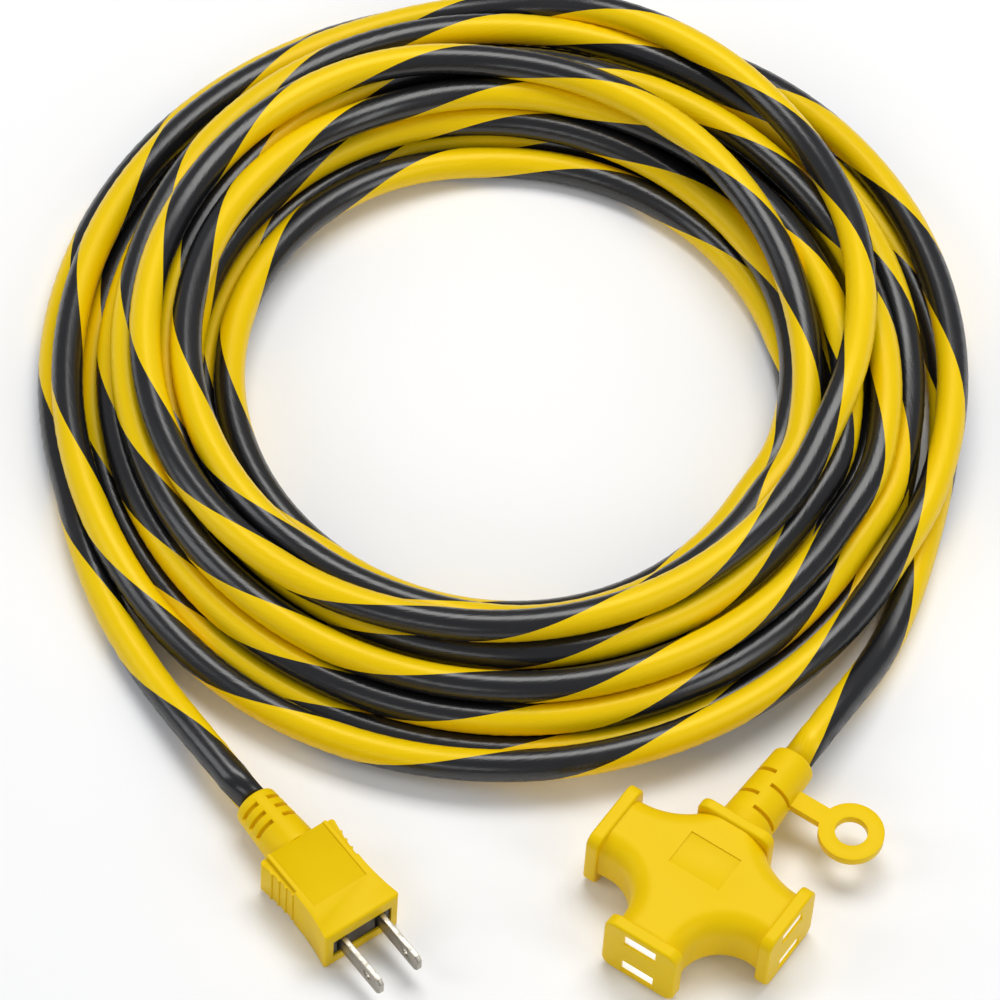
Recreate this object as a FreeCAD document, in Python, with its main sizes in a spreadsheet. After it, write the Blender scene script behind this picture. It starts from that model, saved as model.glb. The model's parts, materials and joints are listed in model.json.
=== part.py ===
"""Extension cord: a three-way tap, a coiled two-core cord and a two-pin plug."""
import FreeCAD, Part
import math
import os
import re
import Sketcher

V = FreeCAD.Vector
Turn = FreeCAD.Rotation
Place = FreeCAD.Placement

# Driving dimensions in millimetres and degrees, one sheet cell each.
SIZES = {
    # three-way tap, outside; reaches are measured from the middle of its cross
    "outlet_reach": 30.0,
    "cord_reach": 19.5,
    "flange_width": 23.4,
    "flange_height": 21.5,
    "flange_depth": 4.0,
    "cord_flange_depth": 3.4,
    "flange_corner": 3.4,
    "edge_round": 0.8,
    "arm_half_width": 10.2,
    "arm_flare": 1.12,
    "cord_arm_half_width": 9.5,
    "body_height": 19.7,
    "body_round": 6.4,
    "panel_length": 16.2,
    "panel_width": 11.6,
    "panel_depth": 0.35,
    "panel_shift": 2.0,
    # blades and windows, shared by the tap and the plug
    "pole_spacing": 12.7,
    "blade_thick": 1.5,
    "blade_width": 6.3,
    "blade_length": 17.5,
    "blade_tip": 1.3,
    "blade_hole": 3.0,
    "blade_hole_reach": 11.6,
    "window_width": 10.1,
    "window_height": 4.5,
    "window_wall": 0.7,
    # inner block of the tap
    "block_half_width": 6.0,
    "block_half_height": 8.9,
    "block_wall": 1.7,
    "block_roof": 1.0,
    "block_back": 15.4,
    "back_wall": 1.5,
    "head_half_width": 7.2,
    "head_half_height": 9.6,
    "head_depth": 3.1,
    "slot_wall": 2.3,
    "slot_width": 8.2,
    "slot_height": 2.6,
    # dust shutters and their springs
    "shutter_thick": 2.4,
    "shutter_half_width": 5.6,
    "shutter_lap": 0.2,
    "shutter_step": 1.4,
    "shutter_slope": 1.4,
    "slide_gap": 0.08,
    "rib_half": 0.6,
    "spring_wall": 0.3,
    "spring_pocket": 0.75,
    "spring_pocket_depth": 2.0,
    "spring_radius": 0.55,
    "spring_wire": 0.25,
    "spring_turns": 5.0,
    # live parts of the tap
    "clip_width": 7.0,
    "clip_leaf": 0.5,
    "clip_play": 0.1,
    "clip_tail": 3.4,
    "clip_mouth": 1.2,
    "clip_edge": 0.15,
    "tip_room": 1.4,
    "busbar_thick": 0.8,
    "busbar_width": 5.0,
    "rivet_head": 1.3,
    "rivet_shank": 0.8,
    "rivet_head_height": 0.5,
    "rivet_grip": 1.5,
    "crimp_reach": 4.5,
    "crimp_length": 4.0,
    "crimp_diameter": 2.7,
    # cord
    "cord_diameter": 9.2,
    "core_diameter": 2.8,
    "core_spacing": 3.5,
    "core_play": 0.6,
    "core_lead": 2.0,
    "core_drop": 2.5,
    "strand_diameter": 1.6,
    # strain reliefs
    "collar_depth": 1.5,
    "bore_lip": 1.6,
    "tap_collar": 17.2,
    "tap_relief_root": 15.7,
    "tap_relief_wall": 1.9,
    "tap_relief_length": 29.0,
    "tap_slot_start": 6.3,
    "tap_slot_pitch": 4.45,
    "tap_slot_angle": 82.0,
    "plug_collar_lip": 0.7,
    "plug_neck_wall": 0.9,
    "plug_relief_root": 15.3,
    "plug_relief_wall": 1.7,
    "plug_relief_length": 19.5,
    "plug_slot_start": 8.6,
    "plug_slot_pitch": 3.6,
    "plug_slot_angle": 62.0,
    "relief_round": 1.2,
    "slot_wide": 1.3,
    "slot_deep": 1.4,
    # hanging ring
    "ring_outer": 18.4,
    "ring_hole": 9.2,
    "ring_thick": 2.6,
    "ring_side": 25.2,
    "ring_place": 38.2,
    "tab_width": 5.6,
    # plug
    "plug_width": 25.0,
    "plug_waist": 21.6,
    "plug_height": 15.4,
    "plug_length": 31.0,
    "plug_round": 1.0,
    "ear_drop": 1.3,
    "ear_length": 14.0,
    "ear_width": 2.6,
    "plug_panel_length": 20.5,
    "plug_panel_width": 17.6,
    "grip_rib_start": 4.8,
    "grip_rib_pitch": 2.9,
    "grip_rib_radius": 0.45,
    "plug_block_width": 19.4,
    "plug_block_wall": 0.45,
    "plug_block_length": 13.0,
    "plug_recess": 0.6,
    "blade_well_width": 3.4,
    "blade_well_play": 0.1,
    "blade_well_depth": 1.2,
    "blade_seat": 3.0,
    "blade_tail": 3.0,
    "blade_tail_width": 4.2,
    "terminal_room": 14.0,
    "terminal_half_width": 8.2,
    "terminal_half_height": 3.0,
    # coil, and where the plug and the coil lie
    "coil_outer": 134.0,
    "coil_inner": 81.0,
    "coil_height": 30.0,
    "coil_round": 9.0,
    "coil_x": -140.5,
    "coil_y": 117.0,
    "plug_x": -67.0,
    "plug_y": -59.0,
    "plug_turn": -19.0,
}

# Dimensions that follow from the driving ones.
FITS = {
    "tap_shift": "(outlet_reach - cord_reach) / 2",
    "mid_level": "flange_height / 2",
    "arm_run": "outlet_reach - flange_depth / 2 - arm_half_width",
    "front_bite": "arm_flare + arm_run - sqrt(2 * arm_flare * arm_run)",
    "back_run": "outlet_reach - flange_depth - cord_arm_half_width",
    "back_rise": "cord_reach - cord_flange_depth / 2 - arm_half_width",
    "back_bite": "(back_run ^ 2 + back_rise ^ 2) / (2 * back_rise)",
    "pole": "pole_spacing / 2",
    "head_front": "outlet_reach - window_wall",
    "head_back": "head_front - head_depth",
    "shutter_front": "head_front - slide_gap",
    "shutter_back": "shutter_front - shutter_thick",
    "pocket_back": "shutter_back - slide_gap",
    "spring_reach": "shutter_back + spring_wall + spring_pocket",
    "trough_end": "pocket_back - slot_wall",
    "trough_half": "block_half_width - block_wall",
    "trough_roof": "block_half_height - block_roof",
    "shutter_low": "pole - window_height / 2 - shutter_lap",
    "shutter_high": "pole + window_height / 2 + shutter_lap",
    "clip_low": "pole - blade_thick / 2 - clip_play / 2 - clip_leaf",
    "clip_high": "pole + blade_thick / 2 + clip_play / 2 + clip_leaf",
    "clip_back": "outlet_reach - blade_length - tip_room - clip_leaf",
    "clip_front": "trough_end - slide_gap",
    "tail_top": "clip_low + clip_leaf",
    "busbar_low": "clip_low - busbar_thick",
    "busbar_reach": "clip_back - clip_tail / 2 + busbar_width / 2",
    "rivet_reach": "clip_back - clip_tail / 2",
    "crimp_end": "crimp_reach + crimp_length",
    "crimp_level": "clip_low + crimp_diameter / 2",
    "core_hole": "core_spacing / 2 + core_diameter / 2 + core_play",
    "tap_face": "cord_reach - block_back",
    "tap_relief_end": "cord_diameter + 2 * tap_relief_wall",
    "plug_relief_end": "cord_diameter + 2 * plug_relief_wall",
    "plug_neck": "cord_diameter + 2 * plug_neck_wall",
    "plug_collar": "plug_neck + 2 * plug_collar_lip",
    "plug_block_height": "blade_width + 2 * plug_block_wall",
    "ear_top": "plug_height / 2 - ear_drop",
    "blade_well_height": "blade_width + 2 * blade_well_play",
    "plug_face": "plug_length - plug_block_length - terminal_room",
    "plug_back": "plug_block_length + terminal_room",
    "plug_crimp": "plug_block_length + blade_tail",
    "waist_bow": "(plug_width - plug_waist) / 2",
    "side_radius": "(plug_length ^ 2 / 4 + waist_bow ^ 2) / (2 * waist_bow)",
}

# The cord's free stretches beyond the two reliefs' tips, in the part's own frame.
TAP_ROUTE = [(0.0, 75.0, 10.75), (-1.0, 100.0, 4.8), (-4.6, 119.0, 4.65), (-10.2, 137.2, 4.65)]
PLUG_ROUTE = [(-135.4, -35.4, 7.7), (-160.5, -25.5, 4.75), (-185.0, -13.6, 4.65), (-206.0, 1.5, 4.65)]

ARMS = {"front": -90, "right": 0, "left": 180}
POLES = {"upper": 0, "lower": 180}


# ---- the sheets and their formulas ---------------------------------------------------------------

def link(text, inside=False):
    """Point each size word of a formula at its sheet; inside is for the sheet of fits itself."""
    def point(word):
        if word.group() in SIZES:
            return "Sizes." + word.group()
        if word.group() in FITS and not inside:
            return "Fits." + word.group()
        return word.group()
    return re.sub(r"[a-z]+(?:_[a-z]+)*", point, str(text))


def make_sheet(name, rows):
    """A sheet with a word in column A and its aliased value in column B."""
    made = doc.addObject("Spreadsheet::Sheet", name)
    for row, (word, content) in enumerate(rows.items(), start=1):
        made.set(f"A{row}", word)
        made.set(f"B{row}", str(content))
        made.setAlias(f"B{row}", word)
    doc.recompute()
    return {word: float(made.get(word)) for word in rows}


doc = FreeCAD.newDocument("ExtensionCord")
size = make_sheet("Sizes", SIZES)
size.update(make_sheet("Fits", {word: "=" + link(text, inside=True) for word, text in FITS.items()}))


def bind(thing, **formulas):
    """Bind properties to formulas; a double underscore stands for a dot."""
    for name, formula in formulas.items():
        thing.setExpression(name.replace("__", "."), link(formula))


# ---- helpers for solids --------------------------------------------------------------------------

def block(name, low, high):
    """A box between two corners given as formulas."""
    made = doc.addObject("Part::Box", name)
    bind(made, Length=f"({high[0]}) - ({low[0]})")
    bind(made, Width=f"({high[1]}) - ({low[1]})")
    bind(made, Height=f"({high[2]}) - ({low[2]})")
    bind(made, Placement__Base__x=low[0], Placement__Base__y=low[1], Placement__Base__z=low[2])
    return made


def rod(name, radius, length, base=(0, 0, 0), along=(0, 0, 1)):
    """A cylinder whose radius, length and base are formulas."""
    made = doc.addObject("Part::Cylinder", name)
    bind(made, Radius=radius, Height=length)
    made.Placement = Place(V(0, 0, 0), Turn(V(0, 0, 1), V(*along)))
    bind(made, Placement__Base__x=base[0], Placement__Base__y=base[1], Placement__Base__z=base[2])
    return made


def fuse(name, pieces):
    """A union of several objects."""
    made = doc.addObject("Part::MultiFuse", name)
    made.Shapes = pieces
    made.Refine = True
    return made


def cut(name, base, tool):
    """The base without the tool."""
    made = doc.addObject("Part::Cut", name)
    made.Base = base
    made.Tool = tool
    made.Refine = True
    return made


def placed(made, place):
    """The same object, at its place."""
    made.Placement = place
    return made


def round_edges(name, base, radius, wanted):
    """A fillet on the edges that the test picks."""
    doc.recompute()
    made = doc.addObject("Part::Fillet", name)
    made.Base = base
    made.Edges = [(i, radius, radius) for i, edge in enumerate(base.Shape.Edges, start=1) if wanted(edge)]
    return made


def runs_along(edge, direction):
    """True for a straight edge along a direction."""
    return isinstance(edge.Curve, Part.Line) and abs(edge.Curve.Direction.dot(V(*direction))) > 0.999


def lies_at(edge, axis, level):
    """True for an edge whose points all have one coordinate at a level."""
    box = edge.BoundBox
    return abs(getattr(box, axis + "Min") - level) < 1e-4 and abs(getattr(box, axis + "Max") - level) < 1e-4


# ---- helpers for sketched bodies -----------------------------------------------------------------

def body(name, place):
    """A body that becomes one sub-part."""
    made = doc.addObject("PartDesign::Body", name)
    made.Placement = place
    return made


def sketch(owner, plane, lift="0"):
    """A sketch on one of the body's own origin planes, lifted along the plane's normal."""
    flat = owner.newObject("Sketcher::SketchObject", owner.Name + "_sketch")
    origin_plane = [found for found in owner.Origin.OriginFeatures if found.Role == plane][0]
    flat.AttachmentSupport = [(origin_plane, "")]
    flat.MapMode = "FlatFace"
    bind(flat, AttachmentOffset__Base__z=lift)
    return flat


def hold_point(flat, edge, end, x, y):
    """Hold a sketch point at formulas measured from the sketch's origin."""
    for kind, formula in (("DistanceX", x), ("DistanceY", y)):
        held = flat.addConstraint(Sketcher.Constraint(kind, -1, 1, edge, end, 1.0))
        flat.setExpression(f"Constraints[{held}]", link(formula))


def outline(flat, corners):
    """A closed outline of straight edges through corners given as pairs of formulas."""
    first = flat.GeometryCount
    count = len(corners)
    turns = [2 * math.pi * i / count for i in range(count + 1)]
    rim = [V(math.cos(turn), math.sin(turn), 0) for turn in turns]
    for start, stop in zip(rim, rim[1:]):
        flat.addGeometry(Part.LineSegment(start, stop))
    for i, (x, y) in enumerate(corners):
        flat.addConstraint(Sketcher.Constraint("Coincident", first + i, 2, first + (i + 1) % count, 1))
        hold_point(flat, first + i, 1, x, y)


def rectangle(flat, low, high):
    """A rectangle between two corners given as pairs of formulas."""
    outline(flat, [low, (high[0], low[1]), high, (low[0], high[1])])


def circle(flat, x, y, radius):
    """A circle whose centre and radius are formulas."""
    made = flat.addGeometry(Part.Circle(V(0, 0, 0), V(0, 0, 1), 1.0))
    held = flat.addConstraint(Sketcher.Constraint("Radius", made, 1.0))
    flat.setExpression(f"Constraints[{held}]", link(radius))
    hold_point(flat, made, 3, x, y)


def pad(owner, flat, length, side="Symmetric"):
    """Pad a sketch about its plane, or to one side of it."""
    made = owner.newObject("PartDesign::Pad", owner.Name + "_pad")
    made.Profile = flat
    made.SideType = side
    bind(made, Length=length)


def pocket(owner, flat, length, side="Symmetric", backwards=False):
    """Pocket a sketch, and make sure that it takes material away."""
    doc.recompute()
    before = owner.Shape.Volume
    made = owner.newObject("PartDesign::Pocket", owner.Name + "_pocket")
    made.Profile = flat
    made.SideType = side
    made.Reversed = backwards
    bind(made, Length=length)
    doc.recompute()
    if owner.Shape.Volume > before - 1e-4:
        raise RuntimeError("a pocket cuts nothing in " + owner.Name)


def stored(name, shape, place=Place()):
    """An object for a shape that is swept along a helix or a cord's route."""
    made = doc.addObject("Part::Feature", name)
    made.Shape = shape
    made.Placement = place
    return made


# ---- swept rods ----------------------------------------------------------------------------------

def rounded_path(points):
    """Straight runs joined by tangent arcs as large as the runs allow, and the arcs' radii."""
    edges = []
    radii = []
    start = points[0]
    for before, corner, after in zip(points, points[1:], points[2:]):
        inward = (corner - before).normalize()
        outward = (after - corner).normalize()
        half_turn = inward.getAngle(outward) / 2
        reach = 0.45 * min((corner - before).Length, (after - corner).Length)
        radius = reach / math.tan(half_turn)
        enter = corner - inward * reach
        leave = corner + outward * reach
        middle = corner + (outward - inward).normalize() * radius * (1 / math.cos(half_turn) - 1)
        edges.append(Part.LineSegment(start, enter).toShape())
        edges.append(Part.Arc(enter, middle, leave).toShape())
        radii.append(round(radius, 1))
        start = leave
    edges.append(Part.LineSegment(start, points[-1]).toShape())
    return Part.Wire(edges), radii


def tube(name, points, diameter):
    """A round rod along a rounded path; its volume has to be its section times its length."""
    points = [V(*point) for point in points]
    path, radii = rounded_path(points)
    ring = Part.Circle(points[0], points[1] - points[0], diameter / 2).toShape()
    solid = path.makePipeShell([Part.Wire([ring])], True, False)
    section = math.pi * diameter ** 2 / 4
    if abs(solid.Volume / (section * path.Length) - 1) > 0.01:
        raise RuntimeError("the volume is off in " + name)
    print(name, "length", round(path.Length, 1), "radii", radii)
    return solid


def tap_place(turn=0, flip=0):
    """The place of a tap piece drawn about the cross's middle, turned to its arm and its pole."""
    return Place(V(0, size["tap_shift"], size["mid_level"]), Turn(V(0, 0, 1), turn) * Turn(V(1, 0, 0), flip))


# ---- tap: jacket and inner block -----------------------------------------------------------------

def flange(name, reach, depth, turn):
    """The rounded plate that ends an arm."""
    plate = block(name + "_plate", (f"{reach} - {depth}", "-flange_width / 2", "-flange_height / 2"),
                  (reach, "flange_width / 2", "flange_height / 2"))
    corners = round_edges(name + "_corners", plate, size["flange_corner"],
                          lambda edge: runs_along(edge, (1, 0, 0)))
    faces = (size[reach], size[reach] - size[depth])
    rim = round_edges(name, corners, size["edge_round"],
                      lambda edge: lies_at(edge, "X", faces[0]) or lies_at(edge, "X", faces[1]))
    return placed(rim, Place(V(0, 0, 0), Turn(V(0, 0, 1), turn)))


def waisted_cross():
    """The cross behind the flanges: a slab with a round bite out of each corner, well rounded."""
    slab = block("cross_slab", ("-outlet_reach + flange_depth / 2", "-outlet_reach + flange_depth / 2",
                                "-body_height / 2"),
                 ("outlet_reach - flange_depth / 2", "cord_reach - cord_flange_depth / 2",
                  "body_height / 2"))
    bites = []
    for sign in ("", "-"):
        front_x = f"{sign}(arm_half_width + front_bite)"
        back_x = f"{sign}(outlet_reach - flange_depth)"
        bites.append(rod("front_bite", "front_bite", "2 * body_height",
                         (front_x, "-arm_half_width - front_bite", "-body_height")))
        bites.append(rod("back_bite", "back_bite", "2 * body_height",
                         (back_x, "arm_half_width + back_bite", "-body_height")))
    waisted = cut("cross_waisted", slab, fuse("cross_bites", bites))
    levels = (size["body_height"] / 2, -size["body_height"] / 2)
    return round_edges("waisted_cross", waisted, size["body_round"],
                       lambda edge: isinstance(edge.Curve, Part.Circle)
                       and (lies_at(edge, "Z", levels[0]) or lies_at(edge, "Z", levels[1])))


def block_envelope():
    """The outer shape of the tap's inner block: a cross with a wider head behind each outlet."""
    arms = [block("cord_stem", ("-block_half_width", "0", "-block_half_height"),
                  ("block_half_width", "block_back", "block_half_height"))]
    for arm, turn in ARMS.items():
        stem = block(arm + "_stem", ("0", "-block_half_width", "-block_half_height"),
                     ("head_front", "block_half_width", "block_half_height"))
        head = block(arm + "_head", ("head_back", "-head_half_width", "-head_half_height"),
                     ("head_front", "head_half_width", "head_half_height"))
        arms.append(placed(fuse(arm + "_arm", [stem, head]), Place(V(0, 0, 0), Turn(V(0, 0, 1), turn))))
    return fuse("block_envelope", arms)


def windows(arm, turn):
    """The two blade windows through one outlet's end wall."""
    pair = []
    for sign in ("", "-"):
        low = ("head_back", "-window_width / 2", f"{sign}pole - window_height / 2")
        high = ("outlet_reach + 1", "window_width / 2", f"{sign}pole + window_height / 2")
        pair.append(block(arm + "_window", low, high))
    return placed(fuse(arm + "_windows", pair), Place(V(0, 0, 0), Turn(V(0, 0, 1), turn)))


def tap_jacket(envelope):
    """The moulded jacket: cross and flanges, hollow for the inner block and the relief's collar."""
    plates = [flange(arm + "_flange", "outlet_reach", "flange_depth", turn) for arm, turn in ARMS.items()]
    plates.append(flange("cord_flange", "cord_reach", "cord_flange_depth", 90))
    outside = fuse("tap_outside", [waisted_cross()] + plates)
    tools = [envelope] + [windows(arm, turn) for arm, turn in ARMS.items()]
    tools.append(rod("relief_bore", "tap_relief_root / 2", "cord_reach", (0, "block_back", 0), (0, 1, 0)))
    tools.append(rod("collar_bore", "tap_collar / 2", "collar_depth", (0, "block_back", 0), (0, 1, 0)))
    tools.append(block("tap_panel", ("-panel_length / 2", "panel_shift - panel_width / 2",
                                     "body_height / 2 - panel_depth"),
                       ("panel_length / 2", "panel_shift + panel_width / 2", "body_height")))
    return placed(cut("tap_jacket", outside, fuse("jacket_tools", tools)), tap_place())


def inner_half(name, envelope, flip):
    """One half of the inner block: troughs for the live parts, and each outlet's slot and pocket."""
    limit = block(name + "_limit", ("-outlet_reach", "-outlet_reach", "0"),
                  ("outlet_reach", "outlet_reach", "flange_height"))
    half = doc.addObject("Part::Common", name + "_half")
    half.Base = envelope
    half.Tool = limit
    tools = [
        block(name + "_trough_x", ("-trough_end", "-trough_half", "-1"),
              ("trough_end", "trough_half", "trough_roof")),
        block(name + "_trough_y", ("-trough_half", "-trough_end", "-1"),
              ("trough_half", "block_back - back_wall", "trough_roof")),
        rod(name + "_cord_hole", "core_hole", "3 * back_wall",
            (0, "block_back - 2 * back_wall", 0), (0, 1, 0)),
    ]
    for arm, turn in ARMS.items():
        slot = block(name + "_slot", ("trough_end - 1", "-slot_width / 2", "pole - slot_height / 2"),
                     ("pocket_back + 1", "slot_width / 2", "pole + slot_height / 2"))
        room = block(name + "_room", ("pocket_back", "-shutter_half_width - slide_gap", "rib_half"),
                     ("outlet_reach", "shutter_half_width + slide_gap", "shutter_high + slide_gap"))
        outlet = fuse(name + "_outlet", [slot, room])
        tools.append(placed(outlet, Place(V(0, 0, 0), Turn(V(0, 0, 1), turn))))
    made = cut(name, half, fuse(name + "_tools", tools))
    return placed(made, tap_place() * Place(V(0, 0, 0), Turn(V(0, 1, 0), flip)))


def insulating_core():
    """The solid cross between the poles, with blind holes for the rivets."""
    made = body("insulating_core", tap_place())
    for low, high in ((("-trough_end", "-trough_half"), ("trough_end", "trough_half")),
                      (("-trough_half", "-trough_end"), ("trough_half", "trough_half"))):
        flat = sketch(made, "XY_Plane")
        rectangle(flat, low, high)
        pad(made, flat, "2 * busbar_low")
    for sign in ("", "-"):
        holes = sketch(made, "XY_Plane", f"{sign}busbar_low")
        for x, y in rivet_places():
            circle(holes, x, y, "rivet_shank")
        pocket(made, holes, "rivet_grip", "One side", backwards=sign == "-")
    return made


# ---- tap: live parts -----------------------------------------------------------------------------

def rivet_places():
    """Where the clips are riveted to the busbars, as formulas about the cross's middle."""
    return [("0", "-rivet_reach"), ("rivet_reach", "0"), ("-rivet_reach", "0")]


def busbar(name, sign):
    """A brass cross that joins one pole's clips, with a tail under the core's crimp."""
    made = body(name, tap_place())
    level = f"{sign}(busbar_low + busbar_thick / 2)"
    for low, high in ((("-busbar_reach", "-busbar_width / 2"), ("busbar_reach", "busbar_width / 2")),
                      (("-busbar_width / 2", "-busbar_reach"), ("busbar_width / 2", "crimp_end"))):
        flat = sketch(made, "XY_Plane", level)
        rectangle(flat, low, high)
        pad(made, flat, "busbar_thick")
    holes = sketch(made, "XY_Plane", level)
    for x, y in rivet_places():
        circle(holes, x, y, "rivet_shank")
    pocket(made, holes, "2 * busbar_thick")
    return made


def contact_clip(name, turn, flip):
    """Two brass leaves that grip a blade, flared at the mouth, with a riveted tail."""
    made = body(name, tap_place(turn, flip))
    flat = sketch(made, "XZ_Plane")
    outline(flat, [
        ("clip_back - clip_tail", "clip_low"),
        ("clip_front", "clip_low"),
        ("clip_front", "clip_low + clip_edge"),
        ("clip_front - clip_mouth", "tail_top"),
        ("clip_back + clip_leaf", "tail_top"),
        ("clip_back + clip_leaf", "clip_high - clip_leaf"),
        ("clip_front - clip_mouth", "clip_high - clip_leaf"),
        ("clip_front", "clip_high - clip_edge"),
        ("clip_front", "clip_high"),
        ("clip_back", "clip_high"),
        ("clip_back", "tail_top"),
        ("clip_back - clip_tail", "tail_top"),
    ])
    pad(made, flat, "clip_width")
    hole = sketch(made, "XY_Plane", "pole")
    circle(hole, "rivet_reach", "0", "rivet_shank")
    pocket(made, hole, "pole_spacing")
    return made


def contact_rivets():
    """The six rivets that hold the clips to the busbars."""
    rods = []
    for sign, way in (("", 1), ("-", -1)):
        for x, y in rivet_places():
            rods.append(rod("rivet_shank", "rivet_shank", "tail_top - busbar_low + rivet_grip",
                            (x, y, f"{sign}(busbar_low - rivet_grip)"), (0, 0, way)))
            rods.append(rod("rivet_head", "rivet_head", "rivet_head_height",
                            (x, y, f"{sign}tail_top"), (0, 0, way)))
    return placed(fuse("contact_rivets", rods), tap_place())


def crimp_pair(name, start, offsets, along, place):
    """Two crimp barrels, open for the conductors."""
    barrels = []
    for offset in offsets:
        base = tuple(start[i] if offset[i] == "0" else offset[i] for i in range(3))
        tool = rod(name + "_bore", "strand_diameter / 2", "crimp_length", base, along)
        barrels.append(cut(name + "_barrel", rod(name + "_blank", "crimp_diameter / 2", "crimp_length",
                                                 base, along), tool))
    return placed(fuse(name, barrels), place)


def conductor_pair(name, start, offsets, along, place):
    """The two bare conductor ends inside a pair of crimps."""
    ends = []
    for offset in offsets:
        base = tuple(start[i] if offset[i] == "0" else offset[i] for i in range(3))
        ends.append(rod(name + "_end", "strand_diameter / 2", "crimp_length", base, along))
    return placed(fuse(name, ends), place)


def core(name, high, reach, place):
    """An insulated core, drawn along +X from its crimp at a height down to its bore in the sheath."""
    lead = size["core_lead"]
    low = math.copysign(size["core_spacing"] / 2, high)
    points = [(0, 0, high), (lead, 0, high), (lead + size["core_drop"], 0, low), (reach, 0, low)]
    return stored(name, tube(name, points, size["core_diameter"]), place)


# ---- tap: shutters and springs -------------------------------------------------------------------

def shutter(name, turn, flip):
    """A slide behind one window, bevelled so that a blade pushes it to the middle."""
    made = body(name, tap_place(turn, flip))
    flat = sketch(made, "XZ_Plane")
    outline(flat, [
        ("shutter_back", "shutter_low"),
        ("shutter_front", "shutter_low"),
        ("shutter_front", "shutter_low + shutter_lap + shutter_step"),
        ("shutter_front - shutter_slope", "shutter_high"),
        ("shutter_back", "shutter_high"),
    ])
    pad(made, flat, "2 * shutter_half_width")
    seat = sketch(made, "XY_Plane", "shutter_low")
    circle(seat, "spring_reach", "0", "spring_pocket")
    pocket(made, seat, "spring_pocket_depth", "One side", backwards=True)
    return made


def shutter_spring(name, turn, flip):
    """A compression spring between the block's middle rib and the shutter's pocket."""
    wire = size["spring_wire"]
    low = size["rib_half"] + wire / 2
    height = size["shutter_low"] + size["spring_pocket_depth"] - wire / 2 - low
    helix = Part.makeHelix(height / size["spring_turns"], height, size["spring_radius"])
    ring = Part.Circle(V(size["spring_radius"], 0, 0), V(0, 1, 0), wire / 2).toShape()
    coil = Part.Wire(helix.Edges).makePipeShell([Part.Wire([ring])], True, True)
    return stored(name, coil, tap_place(turn, flip) * Place(V(size["spring_reach"], 0, low), Turn()))


# ---- strain reliefs ------------------------------------------------------------------------------

def relief_turning(name, collar, neck, root, end, face, length):
    """The turned shape of a relief along +X: collar, neck in the wall, taper, and the cord's bore."""
    made = body(name + "_turning", Place())
    flat = sketch(made, "XY_Plane")
    bore = "cord_diameter / 2"
    corners = [("0", "core_hole"), ("0", f"{collar} / 2"), ("collar_depth", f"{collar} / 2"),
               ("collar_depth", f"{neck} / 2")]
    if neck != root:
        corners.append((face, f"{neck} / 2"))
    corners += [(face, f"{root} / 2"), (f"{face} + {length}", f"{end} / 2"), (f"{face} + {length}", bore),
                ("bore_lip", bore), ("bore_lip", "core_hole")]
    outline(flat, corners)
    turned = made.newObject("PartDesign::Revolution", name + "_revolution")
    turned.Profile = flat
    turned.ReferenceAxis = (flat, ["H_Axis"])
    turned.Angle = 360.0
    doc.recompute()
    tip = size[face] + size[length]
    rim = [f"Edge{i}" for i, edge in enumerate(turned.Shape.Edges, start=1)
           if lies_at(edge, "X", tip) and edge.BoundBox.ZMax > size[end] / 2 - 1e-3]
    rounded = made.newObject("PartDesign::Fillet", name + "_rounding")
    rounded.Base = (turned, rim)
    bind(rounded, Radius="relief_round")
    return made


def slot_tool(name, place, outer, start_angle, sweep):
    """A sector of a ring that cuts one slot round a relief, its place measured from the collar's face."""
    sector = rod(name + "_sector", "tap_collar", "slot_wide")
    bind(sector, Angle=sweep)
    tool = cut(name, sector, rod(name + "_inside", f"{outer} - slot_deep", "slot_wide"))
    spin = Turn(V(1, 0, 0), start_angle) * Turn(V(0, 0, 1), V(1, 0, 0))
    return placed(tool, Place(V(place - size["slot_wide"] / 2, 0, 0), spin))


def slotted(name, side, turning, slots):
    """A relief with its slots; each is its offset from the root face and its starting angles."""
    face = size[side + "_face"]
    taper = f"({side}_relief_root - {side}_relief_end) / 2 / {side}_relief_length"
    tools = []
    for offset, angles in slots:
        outer = f"{side}_relief_root / 2 - {taper} * {offset}"
        for angle in angles:
            tools.append(slot_tool(side + "_slot", face + offset, outer, angle, side + "_slot_angle"))
    return cut(name, turning, fuse(side + "_slots", tools))


def relief_place():
    """The frame of the tap's relief: its collar's face, looking back along the cord."""
    return tap_place(90) * Place(V(size["block_back"], 0, 0), Turn())


def tap_strain_relief():
    """The tap's relief, slots staggered from side to side, in one piece with its hanging ring."""
    turning = relief_turning("tap_relief", "tap_collar", "tap_relief_root", "tap_relief_root",
                             "tap_relief_end", "tap_face", "tap_relief_length")
    gap = (90 - size["tap_slot_angle"]) / 2
    slots = []
    for i in range(4):
        angles = (180 + gap, 270 + gap) if i % 2 == 0 else (gap, 90 + gap)
        slots.append((size["tap_slot_start"] + i * size["tap_slot_pitch"], angles))
    sleeve = slotted("tap_relief_sleeve", "tap", turning, slots)
    place = "(ring_place - block_back)"
    ring = rod("ring_disc", "ring_outer / 2", "ring_thick", (place, "-ring_side", "-ring_thick / 2"))
    tab = block("ring_tab", (f"{place} - tab_width / 2", "-ring_side", "-ring_thick / 2"),
                (f"{place} + tab_width / 2", "-cord_diameter / 2 - 1", "ring_thick / 2"))
    hole = rod("ring_bore", "ring_hole / 2", "2 * ring_thick", (place, "-ring_side", "-ring_thick"))
    holder = cut("ring_and_tab", fuse("ring_blank", [ring, tab]), hole)
    return placed(fuse("tap_strain_relief", [sleeve, holder]), relief_place())


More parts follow.
